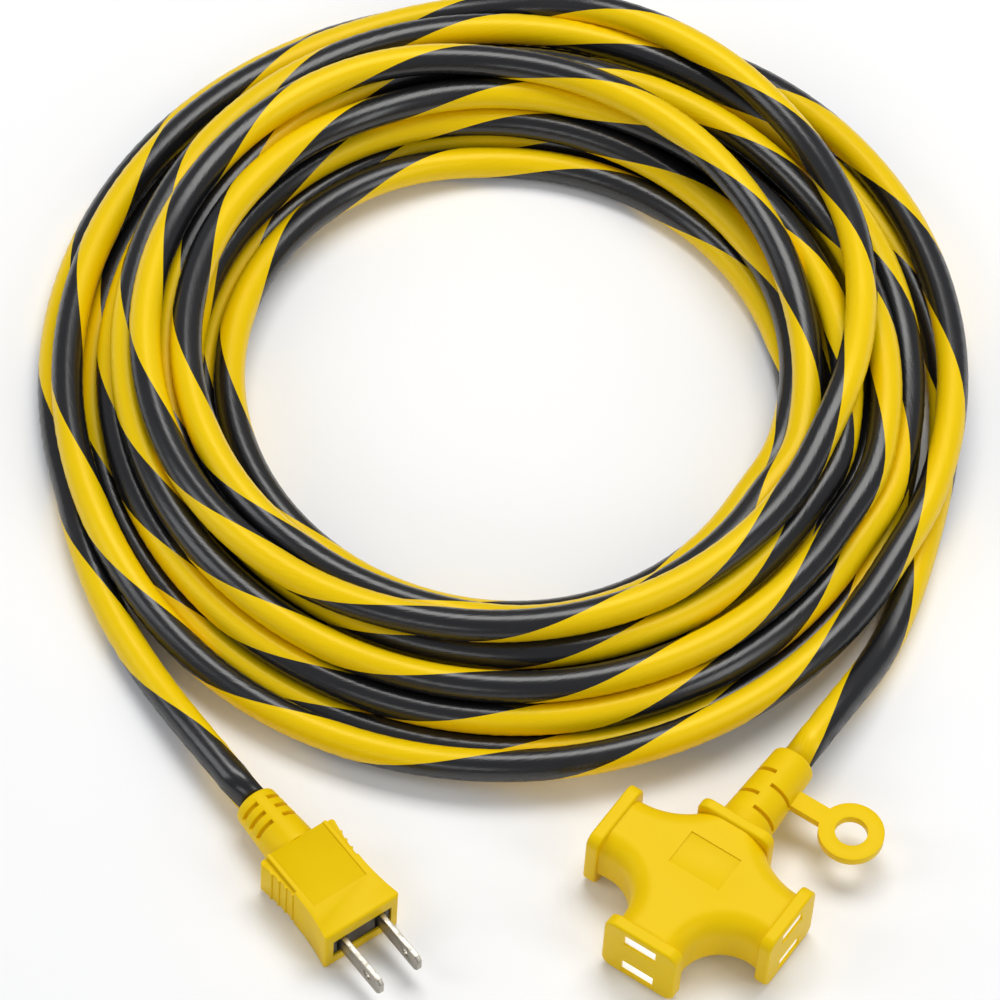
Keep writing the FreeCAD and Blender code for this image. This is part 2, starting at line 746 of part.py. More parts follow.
def sheath_end(name, face, length, place):
    """The end of the cord's sheath inside a relief, with a bore for each core."""
    made = body(name, place)
    flat = sketch(made, "YZ_Plane", "bore_lip")
    circle(flat, "0", "0", "cord_diameter / 2")
    pad(made, flat, f"{face} + {length} - bore_lip", "One side")
    bores = sketch(made, "YZ_Plane", "bore_lip")
    for sign in ("", "-"):
        circle(bores, "0", f"{sign}core_spacing / 2", "core_diameter / 2")
    pocket(made, bores, f"{face} + {length}", "One side", backwards=True)
    return made


# ---- plug ----------------------------------------------------------------------------------------

def plug_place():
    """The frame of the plug, its front face's middle, with the blades along +X."""
    middle = V(size["plug_x"], size["plug_y"], size["plug_height"] / 2)
    return Place(middle, Turn(V(0, 0, 1), size["plug_turn"]))


def plug_back_place(roll=0):
    """The frame of the plug's relief: its collar's face, looking back along the cord."""
    return plug_place() * Place(V(-size["plug_back"], 0, 0), Turn(V(0, 0, 1), 180) * Turn(V(1, 0, 0), roll))


def plug_shell():
    """The plug's jacket before it is hollowed: waisted sides and low grip ears at the back."""
    slab = block("plug_slab", ("-plug_length", "-plug_width / 2", "-plug_height / 2"),
                 ("0", "plug_width / 2", "plug_height / 2"))
    bites = []
    for sign in ("", "-"):
        bites.append(rod("plug_bite", "side_radius", "2 * plug_height",
                         ("-plug_length / 2", f"{sign}(plug_waist / 2 + side_radius)", "-plug_height")))
        for low, high in (("ear_top", "plug_height"), ("-plug_height", "-ear_top")):
            sides = ("plug_width / 2 - ear_width", "plug_width") if sign == "" else (
                "-plug_width", "ear_width - plug_width / 2")
            bites.append(block("ear_step", ("-plug_length - 1", sides[0], low),
                               ("ear_length - plug_length", sides[1], high)))
    waisted = cut("plug_waisted", slab, fuse("plug_bites", bites))
    half = size["plug_width"] / 2
    return round_edges("plug_shell", waisted, size["plug_round"],
                       lambda edge: lies_at(edge, "X", 0.0)
                       or (runs_along(edge, (0, 0, 1)) and edge.BoundBox.YMax ** 2 > (half - 1e-3) ** 2))


def grip_ribs():
    """Four upright ribs on each side of the plug, half sunk in its waisted sides."""
    ribs = []
    for i in range(4):
        along = f"(grip_rib_start + {i} * grip_rib_pitch - plug_length / 2)"
        side = f"(plug_waist / 2 + side_radius - sqrt(side_radius ^ 2 - {along} ^ 2))"
        for sign in ("", "-"):
            ribs.append(rod("grip_rib", "grip_rib_radius", "2 * ear_top",
                            (f"{along} - plug_length / 2", f"{sign}{side}", "-ear_top")))
    return ribs


def plug_jacket():
    """The plug's moulded jacket with its panel and ribs, and room for all that is inside."""
    outside = fuse("plug_outside", [plug_shell()] + grip_ribs())
    tools = [
        block("plug_panel", ("-plug_length - 1", "-plug_panel_width / 2", "plug_height / 2 - panel_depth"),
              ("plug_panel_length - plug_length", "plug_panel_width / 2", "plug_height")),
        block("plug_block_room", ("-plug_block_length", "-plug_block_width / 2", "-plug_block_height / 2"),
              ("1", "plug_block_width / 2", "plug_block_height / 2")),
        block("terminal_room", ("-plug_back", "-terminal_half_width", "-terminal_half_height"),
              ("-plug_block_length", "terminal_half_width", "terminal_half_height")),
        rod("plug_collar_room", "plug_collar / 2", "collar_depth", ("-plug_back", 0, 0), (-1, 0, 0)),
        rod("plug_neck_room", "plug_neck / 2", "2 * plug_face", ("-plug_back", 0, 0), (-1, 0, 0)),
    ]
    return placed(cut("plug_jacket", outside, fuse("plug_tools", tools)), plug_place())


def blade_outline(flat, tip):
    """A blade's side view from its tail to its tip, or to a stop that cuts it short."""
    tail = "-plug_block_length - blade_tail"
    seat = "blade_seat - plug_block_length"
    corners = [(tail, "-blade_tail_width / 2"), (seat, "-blade_tail_width / 2"), (seat, "-blade_width / 2")]
    if tip:
        corners += [("blade_length - blade_tip", "-blade_width / 2"),
                    ("blade_length", "blade_tip - blade_width / 2"),
                    ("blade_length", "blade_width / 2 - blade_tip"),
                    ("blade_length - blade_tip", "blade_width / 2")]
    else:
        corners += [("blade_length", "-blade_width / 2"), ("blade_length", "blade_width / 2")]
    corners += [(seat, "blade_width / 2"), (seat, "blade_tail_width / 2"), (tail, "blade_tail_width / 2")]
    outline(flat, corners)


def blade(name, sign):
    """A brass blade with a chamfered tip, a hole, and a narrow tail for its crimp."""
    made = body(name, plug_place() * Place(V(0, sign * size["pole"], 0), Turn()))
    flat = sketch(made, "XZ_Plane")
    blade_outline(flat, tip=True)
    pad(made, flat, "blade_thick")
    hole = sketch(made, "XZ_Plane")
    circle(hole, "blade_hole_reach", "0", "blade_hole / 2")
    pocket(made, hole, "2 * blade_thick")
    return made


def plug_inner_block():
    """The hard block in the plug's nose, with the blades' seats and a shallow well round each."""
    made = body("plug_inner_block", plug_place())
    flat = sketch(made, "YZ_Plane", "-plug_block_length")
    rectangle(flat, ("-plug_block_width / 2", "-plug_block_height / 2"),
              ("plug_block_width / 2", "plug_block_height / 2"))
    pad(made, flat, "plug_block_length - plug_recess", "One side")
    for sign in ("", "-"):
        seat = sketch(made, "XZ_Plane", f"{sign}pole")
        blade_outline(seat, tip=False)
        pocket(made, seat, "blade_thick")
    wells = sketch(made, "YZ_Plane", "-plug_recess")
    for sign in ("", "-"):
        rectangle(wells, (f"{sign}pole - blade_well_width / 2", "-blade_well_height / 2"),
                  (f"{sign}pole + blade_well_width / 2", "blade_well_height / 2"))
    pocket(made, wells, "blade_well_depth", "One side")
    return made


def plug_strain_relief():
    """The plug's relief, with three rows of slots over each quarter."""
    turning = relief_turning("plug_relief", "plug_collar", "plug_neck", "plug_relief_root",
                             "plug_relief_end", "plug_face", "plug_relief_length")
    gap = (90 - size["plug_slot_angle"]) / 2
    angles = [gap + 90 * quarter for quarter in range(4)]
    slots = [(size["plug_slot_start"] + i * size["plug_slot_pitch"], angles) for i in range(3)]
    return placed(slotted("plug_strain_relief", "plug", turning, slots), plug_back_place())


# ---- cord ----------------------------------------------------------------------------------------

def cord_coil():
    """The outer shape of the hand-wound coil, lying flat."""
    ring = cut("coil_ring", rod("coil_disc", "coil_outer", "coil_height"),
               rod("coil_middle", "coil_inner", "coil_height"))
    rounded = round_edges("cord_coil", ring, size["coil_round"], lambda edge: edge.BoundBox.ZLength < 1e-6)
    return placed(rounded, Place(V(size["coil_x"], size["coil_y"], 0), Turn()))


def free_cord(name, relief, tip, route):
    """One free stretch of cord, from a relief's tip into the coil's side."""
    start = relief.multVec(V(tip, 0, 0))
    return stored(name, tube(name, [tuple(start)] + route, size["cord_diameter"]))


# ---- the whole part ------------------------------------------------------------------------------

def build_tap():
    """Every sub-part of the tap."""
    envelope = block_envelope()
    made = [tap_jacket(envelope), inner_half("tap_inner_cover", envelope, 0),
            inner_half("tap_inner_base", envelope, 180), insulating_core(),
            busbar("upper_busbar", ""), busbar("lower_busbar", "-"), contact_rivets()]
    for arm, turn in ARMS.items():
        for pole, flip in POLES.items():
            made.append(contact_clip(f"{arm}_{pole}_clip", turn, flip))
            made.append(shutter(f"{arm}_{pole}_shutter", turn, flip))
            made.append(shutter_spring(f"{arm}_{pole}_spring", turn, flip))
    levels = (("0", "0", "crimp_level"), ("0", "0", "-crimp_level"))
    start = ("0", "crimp_reach", "0")
    made.append(crimp_pair("tap_crimps", start, levels, (0, 1, 0), tap_place()))
    made.append(conductor_pair("tap_conductors", start, levels, (0, 1, 0), tap_place()))
    reach = size["block_back"] + size["tap_face"] + size["tap_relief_length"] - size["crimp_end"]
    core_place = tap_place(90) * Place(V(size["crimp_end"], 0, 0), Turn())
    made.append(core("tap_core_black", size["crimp_level"], reach, core_place))
    made.append(core("tap_core_white", -size["crimp_level"], reach, core_place))
    made.append(sheath_end("tap_cord_end", "tap_face", "tap_relief_length", relief_place()))
    made.append(tap_strain_relief())
    return made


def build_plug():
    """Every sub-part of the plug."""
    sides = (("0", "pole", "0"), ("0", "-pole", "0"))
    start = ("-plug_crimp", "0", "0")
    made = [plug_jacket(), plug_inner_block(), blade("left_blade", 1), blade("right_blade", -1),
            crimp_pair("plug_crimps", start, sides, (-1, 0, 0), plug_place()),
            conductor_pair("plug_conductors", start, sides, (-1, 0, 0), plug_place())]
    begin = size["plug_crimp"] + size["crimp_length"]
    reach = size["plug_length"] + size["plug_relief_length"] - begin
    core_place = plug_place() * Place(V(-begin, 0, 0), Turn(V(0, 0, 1), 180) * Turn(V(1, 0, 0), 90))
    made.append(core("plug_core_black", size["pole"], reach, core_place))
    made.append(core("plug_core_white", -size["pole"], reach, core_place))
    made.append(sheath_end("plug_cord_end", "plug_face", "plug_relief_length", plug_back_place(90)))
    made.append(plug_strain_relief())
    return made


def build_cord():
    """The coil and the two free stretches that run into it."""
    tap_tip = size["tap_face"] + size["tap_relief_length"]
    plug_tip = size["plug_face"] + size["plug_relief_length"]
    return [cord_coil(), free_cord("cord_to_tap", relief_place(), tap_tip, TAP_ROUTE),
            free_cord("cord_to_plug", plug_back_place(), plug_tip, PLUG_ROUTE)]


pieces = build_tap() + build_plug() + build_cord()
doc.recompute()
failed = [thing.Name for thing in doc.Objects if "Invalid" in thing.State or "Error" in thing.State]
if failed:
    raise RuntimeError("failed objects: " + ", ".join(failed))
for piece in pieces:
    piece.Label = piece.Name
    if piece.Shape.isNull() or not piece.Shape.isValid() or not piece.Shape.Solids:
        raise RuntimeError("bad shape in " + piece.Label)
os.makedirs("parts", exist_ok=True)
for piece in pieces:
    piece.Shape.exportStep(f"parts/{piece.Label}.step")
    box = piece.Shape.BoundBox
    print(piece.Label, len(piece.Shape.Solids), round(piece.Shape.Volume, 1),
          [round(v, 2) for v in (box.XMin, box.YMin, box.ZMin, box.XMax, box.YMax, box.ZMax)])
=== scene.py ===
import json
import math
import bpy
import numpy as np
from mathutils import Matrix, Vector


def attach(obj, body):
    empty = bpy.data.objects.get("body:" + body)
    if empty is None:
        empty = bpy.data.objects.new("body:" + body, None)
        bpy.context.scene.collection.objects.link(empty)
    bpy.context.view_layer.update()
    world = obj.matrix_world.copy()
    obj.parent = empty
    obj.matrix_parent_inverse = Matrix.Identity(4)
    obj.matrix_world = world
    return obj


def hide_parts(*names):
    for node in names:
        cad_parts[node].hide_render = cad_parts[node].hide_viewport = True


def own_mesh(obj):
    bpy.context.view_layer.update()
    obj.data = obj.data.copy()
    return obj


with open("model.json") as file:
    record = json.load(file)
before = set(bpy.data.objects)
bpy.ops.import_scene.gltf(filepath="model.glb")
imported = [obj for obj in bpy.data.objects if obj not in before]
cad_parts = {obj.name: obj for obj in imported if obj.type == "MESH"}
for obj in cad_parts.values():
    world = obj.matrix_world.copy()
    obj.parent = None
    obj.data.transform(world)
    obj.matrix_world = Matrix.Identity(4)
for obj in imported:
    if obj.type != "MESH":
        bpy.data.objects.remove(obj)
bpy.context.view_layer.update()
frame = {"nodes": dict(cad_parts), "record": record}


class Value:
    # a socket that can stand in a sum
    def __init__(self, paint, socket):
        self.paint = paint
        self.socket = socket

    def maths(self, operation, *others):
        inputs = dict(enumerate([self, *others]))
        return self.paint.add("ShaderNodeMath", {"operation": operation}, inputs)

    def __add__(self, other):
        return self.maths("ADD", other)

    def __radd__(self, other):
        return self.maths("ADD", other)

    def __mul__(self, other):
        return self.maths("MULTIPLY", other)

    def __rmul__(self, other):
        return self.maths("MULTIPLY", other)


socketNames = {
    "baseColor": "Base Color", "roughness": "Roughness", "metallic": "Metallic", "normal": "Normal",
    "coat": "Coat Weight", "coatRoughness": "Coat Roughness", "specular": "Specular IOR Level",
    "shineTint": "Specular Tint",
    # emission colour and strength, used only as painted glow that brightens white parts lying in shade
    "glow": "Emission Color", "glowStrength": "Emission Strength",
}


class Paint:
    def __init__(self, name):
        self.material = bpy.data.materials.new(name)
        self.material.use_nodes = True
        self.nodes = self.material.node_tree.nodes
        self.links = self.material.node_tree.links
        self.shader = self.nodes["Principled BSDF"]

    def add(self, kind, settings=None, inputs=None, output=0):
        node = self.nodes.new(kind)
        for name, setting in (settings or {}).items():
            if name == "stops":
                self.setStops(node.color_ramp, setting)
            else:
                setattr(node, name, setting)
        for name, given in (inputs or {}).items():
            self.join(node.inputs[name], given)
        return Value(self, node.outputs[output])

    def join(self, target, given):
        if isinstance(given, Value):
            self.links.new(given.socket, target)
        else:
            target.default_value = given

    def setStops(self, ramp, stops):
        while len(ramp.elements) < len(stops):
            ramp.elements.new(0.5)
        for element, (place, colour) in zip(ramp.elements, stops):
            element.position = place
            element.color = colour

    def finish(self, **sockets):
        for name, given in sockets.items():
            self.join(self.shader.inputs[socketNames[name]], given)
        return self.material

    # patterns that more than one finish uses
    def place(self):
        return self.add("ShaderNodeTexCoord", output="Object")

    def noise(self, scale, detail=3.0, roughness=0.5, vector=None):
        inputs = {"Vector": vector or self.place(), "Scale": scale, "Detail": detail, "Roughness": roughness}
        return self.add("ShaderNodeTexNoise", {}, inputs)

    def ramp(self, factor, low, high):
        stops = [(low, (0, 0, 0, 1)), (high, (1, 1, 1, 1))]
        return self.add("ShaderNodeValToRGB", {"stops": stops}, {"Fac": factor})

    def mix(self, factor, first, second):
        inputs = {"Factor": factor, 6: first, 7: second}
        return self.add("ShaderNodeMix", {"data_type": "RGBA"}, inputs, output=2)

    def bump(self, height, strength, distance):
        return self.add("ShaderNodeBump", {}, {"Height": height, "Strength": strength, "Distance": distance})


def colour(red, green, blue):
    return (red, green, blue, 1.0)


def pick(piece):
    # only this piece is selected, and it is the active one
    for other in bpy.context.selected_objects:
        other.select_set(False)
    bpy.context.view_layer.objects.active = piece
    piece.select_set(True)


view = {
    "place": (0.39810, -0.78398, 1.43733),
    "forward": (-0.29467, 0.49485, -0.81749),
    "up": (-0.47981, 0.66321, 0.57441),
    "angle": math.radians(9.324),
}


def makeCamera():
    forward = Vector(view["forward"]).normalized()
    up = Vector(view["up"]).normalized()
    right = forward.cross(up).normalized()
    turn = Matrix((right, right.cross(forward), -forward)).transposed().to_4x4()
    camera = bpy.data.objects.new("camera", bpy.data.cameras.new("camera"))
    camera.matrix_world = Matrix.Translation(view["place"]) @ turn
    camera.data.sensor_fit = "HORIZONTAL"
    camera.data.angle = view["angle"]
    camera.data.clip_start = 0.01
    bpy.context.scene.collection.objects.link(camera)
    bpy.context.scene.camera = camera


studio = {
    # each light's place, width and depth, strength and tint
    "overhead": ((-0.25, 0.55, 1.25), (1.1, 0.6), 12.0, (1.0, 0.99, 0.97)),
    "frontLeft": ((-1.15, -0.75, 0.85), (0.5, 0.9), 4.0, (0.97, 0.98, 1.0)),
    "right": ((1.15, 0.15, 0.8), (0.4, 0.9), 4.0, (1.0, 1.0, 1.0)),
    "front": ((0.25, -1.25, 0.75), (0.8, 0.3), 2.0, (1.0, 1.0, 1.0)),
}
lightTarget = Vector((-0.12, 0.08, 0.0))


def makeLights():
    for name, (place, spread, strength, tint) in studio.items():
        lamp = bpy.data.lights.new(name, "AREA")
        lamp.shape = "RECTANGLE"
        lamp.size, lamp.size_y = spread
        lamp.energy = strength
        lamp.color = tint
        holder = bpy.data.objects.new(name, lamp)
        holder.location = place
        holder.rotation_euler = (lightTarget - Vector(place)).to_track_quat("-Z", "Y").to_euler()
        bpy.context.scene.collection.objects.link(holder)
    world = bpy.data.worlds.new("softRoom")
    world.use_nodes = True
    sky = world.node_tree.nodes["Background"]
    sky.inputs["Color"].default_value = colour(0.93, 0.95, 1.0)
    sky.inputs["Strength"].default_value = 0.34
    bpy.context.scene.world = world
    bpy.context.scene.view_settings.view_transform = "Standard"


def makeFloor():
    bpy.ops.object.select_all(action="DESELECT")
    bpy.ops.mesh.primitive_plane_add(size=8.0, location=(0, 0, -0.0002))
    floor = bpy.context.object
    floor.name = "floor"
    paint = Paint("paleFloor")
    cloud = paint.noise(3.0)
    tone = paint.mix(cloud, colour(0.93, 0.93, 0.93), colour(0.95, 0.95, 0.95))
    floor.data.materials.append(paint.finish(baseColor=tone, roughness=0.85))


cordSizes = {
    "diameter": 0.0092,
    "stripePitch": 0.1094,
    "stripeStart": 0.55,
    "sides": 20,
    "steps": 4,
}
exitPoint = (0.0, 0.05375, 0.01075)
tapRoute = [(0.0, 0.075, 0.01075), (-0.001, 0.100, 0.0048), (-0.0046, 0.119, 0.00465),
            (-0.0102, 0.1372, 0.00465)]
plugRoute = [(-0.1354, -0.0354, 0.0077), (-0.1605, -0.0255, 0.00475), (-0.185, -0.0136, 0.00465),
             (-0.206, 0.0015, 0.00465)]
plugTip = (-0.11475, -0.04256, 0.0077)

coilSizes = {
    "centre": (-0.1405, 0.117),
    "oval": 0.02,
    "ovalTurn": math.radians(34),
    "pointsPerTurn": 44,
    "lead": math.radians(7),
    "room": 0.006,
    "sag": 0.0005,
    "gap": 0.0093,
    "layOrder": [0, 1, 2, 3, 4, 5, 6, 7, 8, 13, 9, 10, 11, 12],
}
layingSizes = {
    "probe": 0.0015,        # how far to each side a strand feels for a lower place
    "slideSteps": 80,
    "slideShare": 0.3,      # of what it feels, in one step
    "slideSmoothing": 6,
    "lastSmoothing": 10,
    "endPoints": 6,         # points over which the slide grows from a turn's ends
    "settleSteps": 400,
}
# each turn's radius and how far its middle is off the coil's, from the tap's end to the plug's
coilTurns = [
    (0.1290, 0.003, 0.000), (0.1189, 0.004, -0.001), (0.1100, 0.003, -0.001), (0.1011, 0.002, -0.001),
    (0.0923, 0.002, -0.001), (0.0860, 0.001, -0.002), (0.0947, 0.003, 0.000), (0.1039, -0.001, 0.000),
    (0.1121, 0.002, -0.002), (0.1150, 0.001, -0.001), (0.1063, 0.003, 0.000), (0.0976, -0.001, -0.002),
    (0.0995, -0.007, 0.001), (0.1266, -0.005, 0.001), (0.1295, 0.000, 0.000),
]


def eased(values, place):
    # a smooth line through evenly spaced values
    last = len(values) - 1
    step = np.clip(np.floor(place).astype(int), 0, last - 1)
    part = place - step
    before, here = values[np.clip(step - 1, 0, last)], values[step]
    after, beyond = values[step + 1], values[np.clip(step + 2, 0, last)]
    bend = 2 * before - 5 * here + 4 * after - beyond
    twist = -before + 3 * here - 3 * after + beyond
    return 0.5 * (2 * here + (after - before) * part + bend * part ** 2 + twist * part ** 3)


def headingFrom(point):
    return math.atan2(point[1] - coilSizes["centre"][1], point[0] - coilSizes["centre"][0])


def turnsInPlan():
    # the coil as seen from above, all of it still on the floor
    spans = len(coilTurns) - 1
    start = headingFrom(tapRoute[-1]) + coilSizes["lead"]
    end = headingFrom(plugRoute[-1]) - coilSizes["lead"] + 2 * math.pi * spans
    count = round((end - start) / (2 * math.pi) * coilSizes["pointsPerTurn"])
    heading = np.linspace(start, end, count + 1)
    place = np.linspace(0, spans, count + 1)
    radius, shiftX, shiftY = (eased(np.array(column), place) for column in zip(*coilTurns))
    radius = radius * (1 - coilSizes["oval"] * np.cos(2 * (heading - coilSizes["ovalTurn"])))
    middleX, middleY = coilSizes["centre"]
    level = np.full(count + 1, cordSizes["diameter"] / 2)
    return np.stack([middleX + shiftX + radius * np.cos(heading),
                     middleY + shiftY + radius * np.sin(heading), level], axis=1)


def restHeight(spots, laid):
    # how high a strand's middle comes to lie over each spot, on the strands laid before it
    gap = coilSizes["gap"]
    starts, ends = laid[:, 0], laid[:, 1]
    along = ends - starts
    away = spots[:, None, :] - starts[None, :, :2]
    part = (away * along[None, :, :2]).sum(2) / (along[:, :2] ** 2).sum(1)[None, :]
    part = np.clip(part, 0, 1)
    off = ((away - part[..., None] * along[None, :, :2]) ** 2).sum(2)
    height = starts[None, :, 2] + part * along[None, :, 2] + np.sqrt(np.maximum(gap ** 2 - off, 0))
    height = np.where(off < gap ** 2, height, 0)
    return np.maximum(gap / 2, height.max(1))


def smoothed(row, times):
    for _ in range(times):
        row[1:-1] = 0.5 * row[1:-1] + 0.25 * (row[:-2] + row[2:])
    return row


def layTurn(points, turn, laid, settled):
    # one turn slides sideways into the grooves under it, then comes down on what it meets
    first, last = turn[0], turn[-1]
    ahead = points[np.minimum(turn + 1, len(points) - 1)] - points[turn - 1]
    ahead = ahead[:, :2] / np.linalg.norm(ahead[:, :2], axis=1)[:, None]
    side = np.stack([-ahead[:, 1], ahead[:, 0]], axis=1)
    slide = np.zeros(len(turn))
    fromEnd = np.minimum(np.arange(len(turn)), np.arange(len(turn))[::-1]) + 1
    ease = np.minimum(1, fromEnd / layingSizes["endPoints"])
    probe = layingSizes["probe"]
    for _ in range(layingSizes["slideSteps"]):
        spots = points[turn, :2] + side * slide[:, None]
        lean = restHeight(spots - side * probe, laid) - restHeight(spots + side * probe, laid)
        step = layingSizes["slideShare"] * np.clip(lean, -probe, probe) * ease
        slide = smoothed(slide + step, layingSizes["slideSmoothing"])
        slide = np.clip(slide, -coilSizes["room"], coilSizes["room"])
    points[turn, :2] += side * smoothed(slide, layingSizes["lastSmoothing"])[:, None]
    need = restHeight(points[turn, :2], laid)
    height = need.copy()
    start = points[first - 1, 2] if first - 1 in settled else None
    end = points[last + 1, 2] if last + 1 in settled else None
    for _ in range(layingSizes["settleSteps"]):
        left = np.append(height[0] if start is None else start, height[:-1])
        right = np.append(height[1:], height[-1] if end is None else end)
        height = np.maximum(need, (left + right) / 2 - coilSizes["sag"])
    points[turn, 2] = height


def wholeRoute():
    # the exit, the stretch from the tap, the coil's turns, the stretch to the plug
    before = [exitPoint] + tapRoute
    after = plugRoute[::-1] + [plugTip]
    points = np.array(before + turnsInPlan().tolist() + after)
    coilStart, coilEnd = len(before), len(points) - len(after)
    settled = set(range(coilStart)) | set(range(coilEnd, len(points)))
    perTurn = coilSizes["pointsPerTurn"]
    turnCount = len(coilSizes["layOrder"])
    for place in coilSizes["layOrder"]:
        first = coilStart + place * perTurn
        last = coilEnd if place == turnCount - 1 else first + perTurn
        laid = [(points[i], points[i + 1]) for i in sorted(settled) if i + 1 in settled]
        turn = np.arange(first, last)
        layTurn(points, turn, np.array(laid), settled)
        settled |= set(turn.tolist())
    return points


def splineOf(points):
    line = bpy.data.curves.new("cordLine", "CURVE")
    line.dimensions = "3D"
    line.resolution_u = cordSizes["steps"]
    spline = line.splines.new("NURBS")
    spline.points.add(len(points) - 1)
    for knot, point in zip(spline.points, points):
        knot.co = (*point, 1.0)
    spline.order_u = 3
    spline.use_endpoint_u = True
    holder = bpy.data.objects.new("cordLine", line)
    bpy.context.scene.collection.objects.link(holder)
    mesh = bpy.data.meshes.new_from_object(holder)
    path = np.array([vertex.co[:] for vertex in mesh.vertices])
    bpy.data.objects.remove(holder)
    return path


def tubeAlong(path):
    # rings of vertices that turn with the stripe, so that its edges are edges of the mesh
    sides = cordSizes["sides"]
    steps = np.linalg.norm(np.diff(path, axis=0), axis=1)
    reach = np.concatenate([[0], np.cumsum(steps)])
    ahead = np.gradient(path, axis=0)
    ahead /= np.linalg.norm(ahead, axis=1)[:, None]
    side = np.cross(ahead[0], (0, 0, 1))
    rings = []
    for i, tangent in enumerate(ahead):
        side = side - tangent * np.dot(side, tangent)
        side /= np.linalg.norm(side)
        over = np.cross(side, tangent)
        turn = 2 * math.pi * (reach[i] / cordSizes["stripePitch"] + cordSizes["stripeStart"])
        angles = turn + np.arange(sides) * 2 * math.pi / sides
        ring = np.cos(angles)[:, None] * side + np.sin(angles)[:, None] * over
        rings.append(path[i] + ring * cordSizes["diameter"] / 2)
    points = np.concatenate(rings)
    faces = []
    for i in range(len(path) - 1):
        for j in range(sides):
            k = (j + 1) % sides
            faces.append((i * sides + j, i * sides + k, (i + 1) * sides + k, (i + 1) * sides + j))
    faces.append(tuple(range(sides))[::-1])
    faces.append(tuple((len(path) - 1) * sides + j for j in range(sides)))
    mesh = bpy.data.meshes.new("cord")
    mesh.from_pydata(points.tolist(), [], faces)
    mesh.polygons.foreach_set("use_smooth", [True] * (len(faces) - 2) + [False] * 2)
    half = sides // 2
    tones = [0 if j < half else 1 for _ in range(len(path) - 1) for j in range(sides)] + [0, 0]
    mesh.polygons.foreach_set("material_index", tones)
    addLengthMap(mesh, reach, sides)
    mesh.update()
    return bpy.data.objects.new("cord", mesh), reach[-1]


def addLengthMap(mesh, reach, sides):
    # U runs along the cord in metres, V once round it
    layer = mesh.uv_layers.new(name="alongCord")
    spots = np.zeros((len(mesh.loops), 2))
    corner = 0
    for i in range(len(reach) - 1):
        for j in range(sides):
            spots[corner:corner + 4] = [(reach[i], j / sides), (reach[i], (j + 1) / sides),
                                        (reach[i + 1], (j + 1) / sides), (reach[i + 1], j / sides)]
            corner += 4
    layer.data.foreach_set("uv", spots.ravel())


def jacketPaint(name, deep, pale, rough, coat, shine=(1.0, 1.0, 1.0)):
    # extruded jacket: long faint draw lines, slow unevenness along it and rubbed patches
    paint = Paint(name)
    along = paint.add("ShaderNodeUVMap", {"uv_map": "alongCord"})
    stretched = paint.add("ShaderNodeMapping", {}, {"Vector": along, "Scale": (6.0, 40.0, 1.0)})
    lines = paint.noise(1.0, 4.0, 0.6, stretched)
    uneven = paint.noise(60.0, 2.0)
    grain = paint.noise(2500.0, 2.0)
    rubbed = paint.ramp(paint.noise(35.0, 5.0, 0.65), 0.55, 0.75)
    tone = paint.mix(lines * 0.5 + uneven * 0.5, colour(*deep), colour(*pale))
    roughness = rough + lines * 0.10 + rubbed * 0.10
    height = lines * 0.6 + uneven * 0.8 + grain * 0.08
    return paint.finish(baseColor=tone, roughness=roughness, coat=coat, coatRoughness=0.18,
                        shineTint=colour(*shine),
                        normal=paint.bump(height, 0.35, 0.0003))


def makeCord():
    path = splineOf(wholeRoute())
    cord, length = tubeAlong(path)
    bpy.context.scene.collection.objects.link(cord)
    black = jacketPaint("blackJacket", (0.006, 0.006, 0.007), (0.012, 0.012, 0.013), 0.20, 0.22)
    yellow = jacketPaint("yellowJacket", (0.81, 0.53, 0.0), (0.90, 0.62, 0.0), 0.30, 0.05, (1.0, 0.82, 0.25))
    cord.data.materials.append(black)
    cord.data.materials.append(yellow)
    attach(cord, "root")
    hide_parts("cord_to_tap", "cord_coil", "cord_to_plug")
    highest = float(path[:, 2].max()) + cordSizes["diameter"] / 2
    print("cord", round(length, 3), "m, highest", round(highest, 4))
    return cord, path, length


def softYellow():
    # moulded soft PVC: fine spark texture, faint flow marks, slightly duller where handled
    paint = Paint("softYellow")
    grain = paint.noise(2200.0, 3.0, 0.6)
    flow = paint.noise(55.0, 4.0, 0.55)
    handled = paint.ramp(paint.noise(28.0, 5.0, 0.6), 0.50, 0.72)
    tone = paint.mix(flow, colour(0.79, 0.52, 0.0), colour(0.87, 0.59, 0.0))
    return paint.finish(baseColor=tone, roughness=0.38 + flow * 0.10 + handled * 0.08, specular=0.36,
                        shineTint=colour(1.0, 0.82, 0.25),
                        normal=paint.bump(grain * 0.5 + flow * 0.9, 0.30, 0.00012))


def plainMoulding(name, deep, pale, rough, scale, glow=0.0):
    # hard moulding; its last number adds painted light: an emission in the part's pale tone that brightens
    # it where it sits in shade
    paint = Paint(name)
    grain = paint.noise(scale, 4.0, 0.6)
    cloud = paint.noise(scale / 30, 3.0)
    tone = paint.mix(cloud, colour(*deep), colour(*pale))
    # the emission is painted light in the pale tone, not a lamp
    return paint.finish(baseColor=tone, roughness=rough + cloud * 0.12, glow=colour(*pale),
                        glowStrength=glow, normal=paint.bump(grain, 0.25, 0.00005))


def drawnMetal(name, deep, pale, rough, stretch):
    # rolled strip: fine lines one way, with small tarnished spots
    paint = Paint(name)
    lined = paint.add("ShaderNodeMapping", {}, {"Vector": paint.place(), "Scale": stretch})
    lines = paint.noise(1.0, 4.0, 0.7, lined)
    spots = paint.ramp(paint.noise(420.0, 5.0, 0.7), 0.52, 0.70)
    tone = paint.mix(spots * 0.7 + lines * 0.3, colour(*pale), colour(*deep))
    return paint.finish(baseColor=tone, metallic=1.0, roughness=rough + lines * 0.14 + spots * 0.12,
                        normal=paint.bump(lines, 0.25, 0.00004))


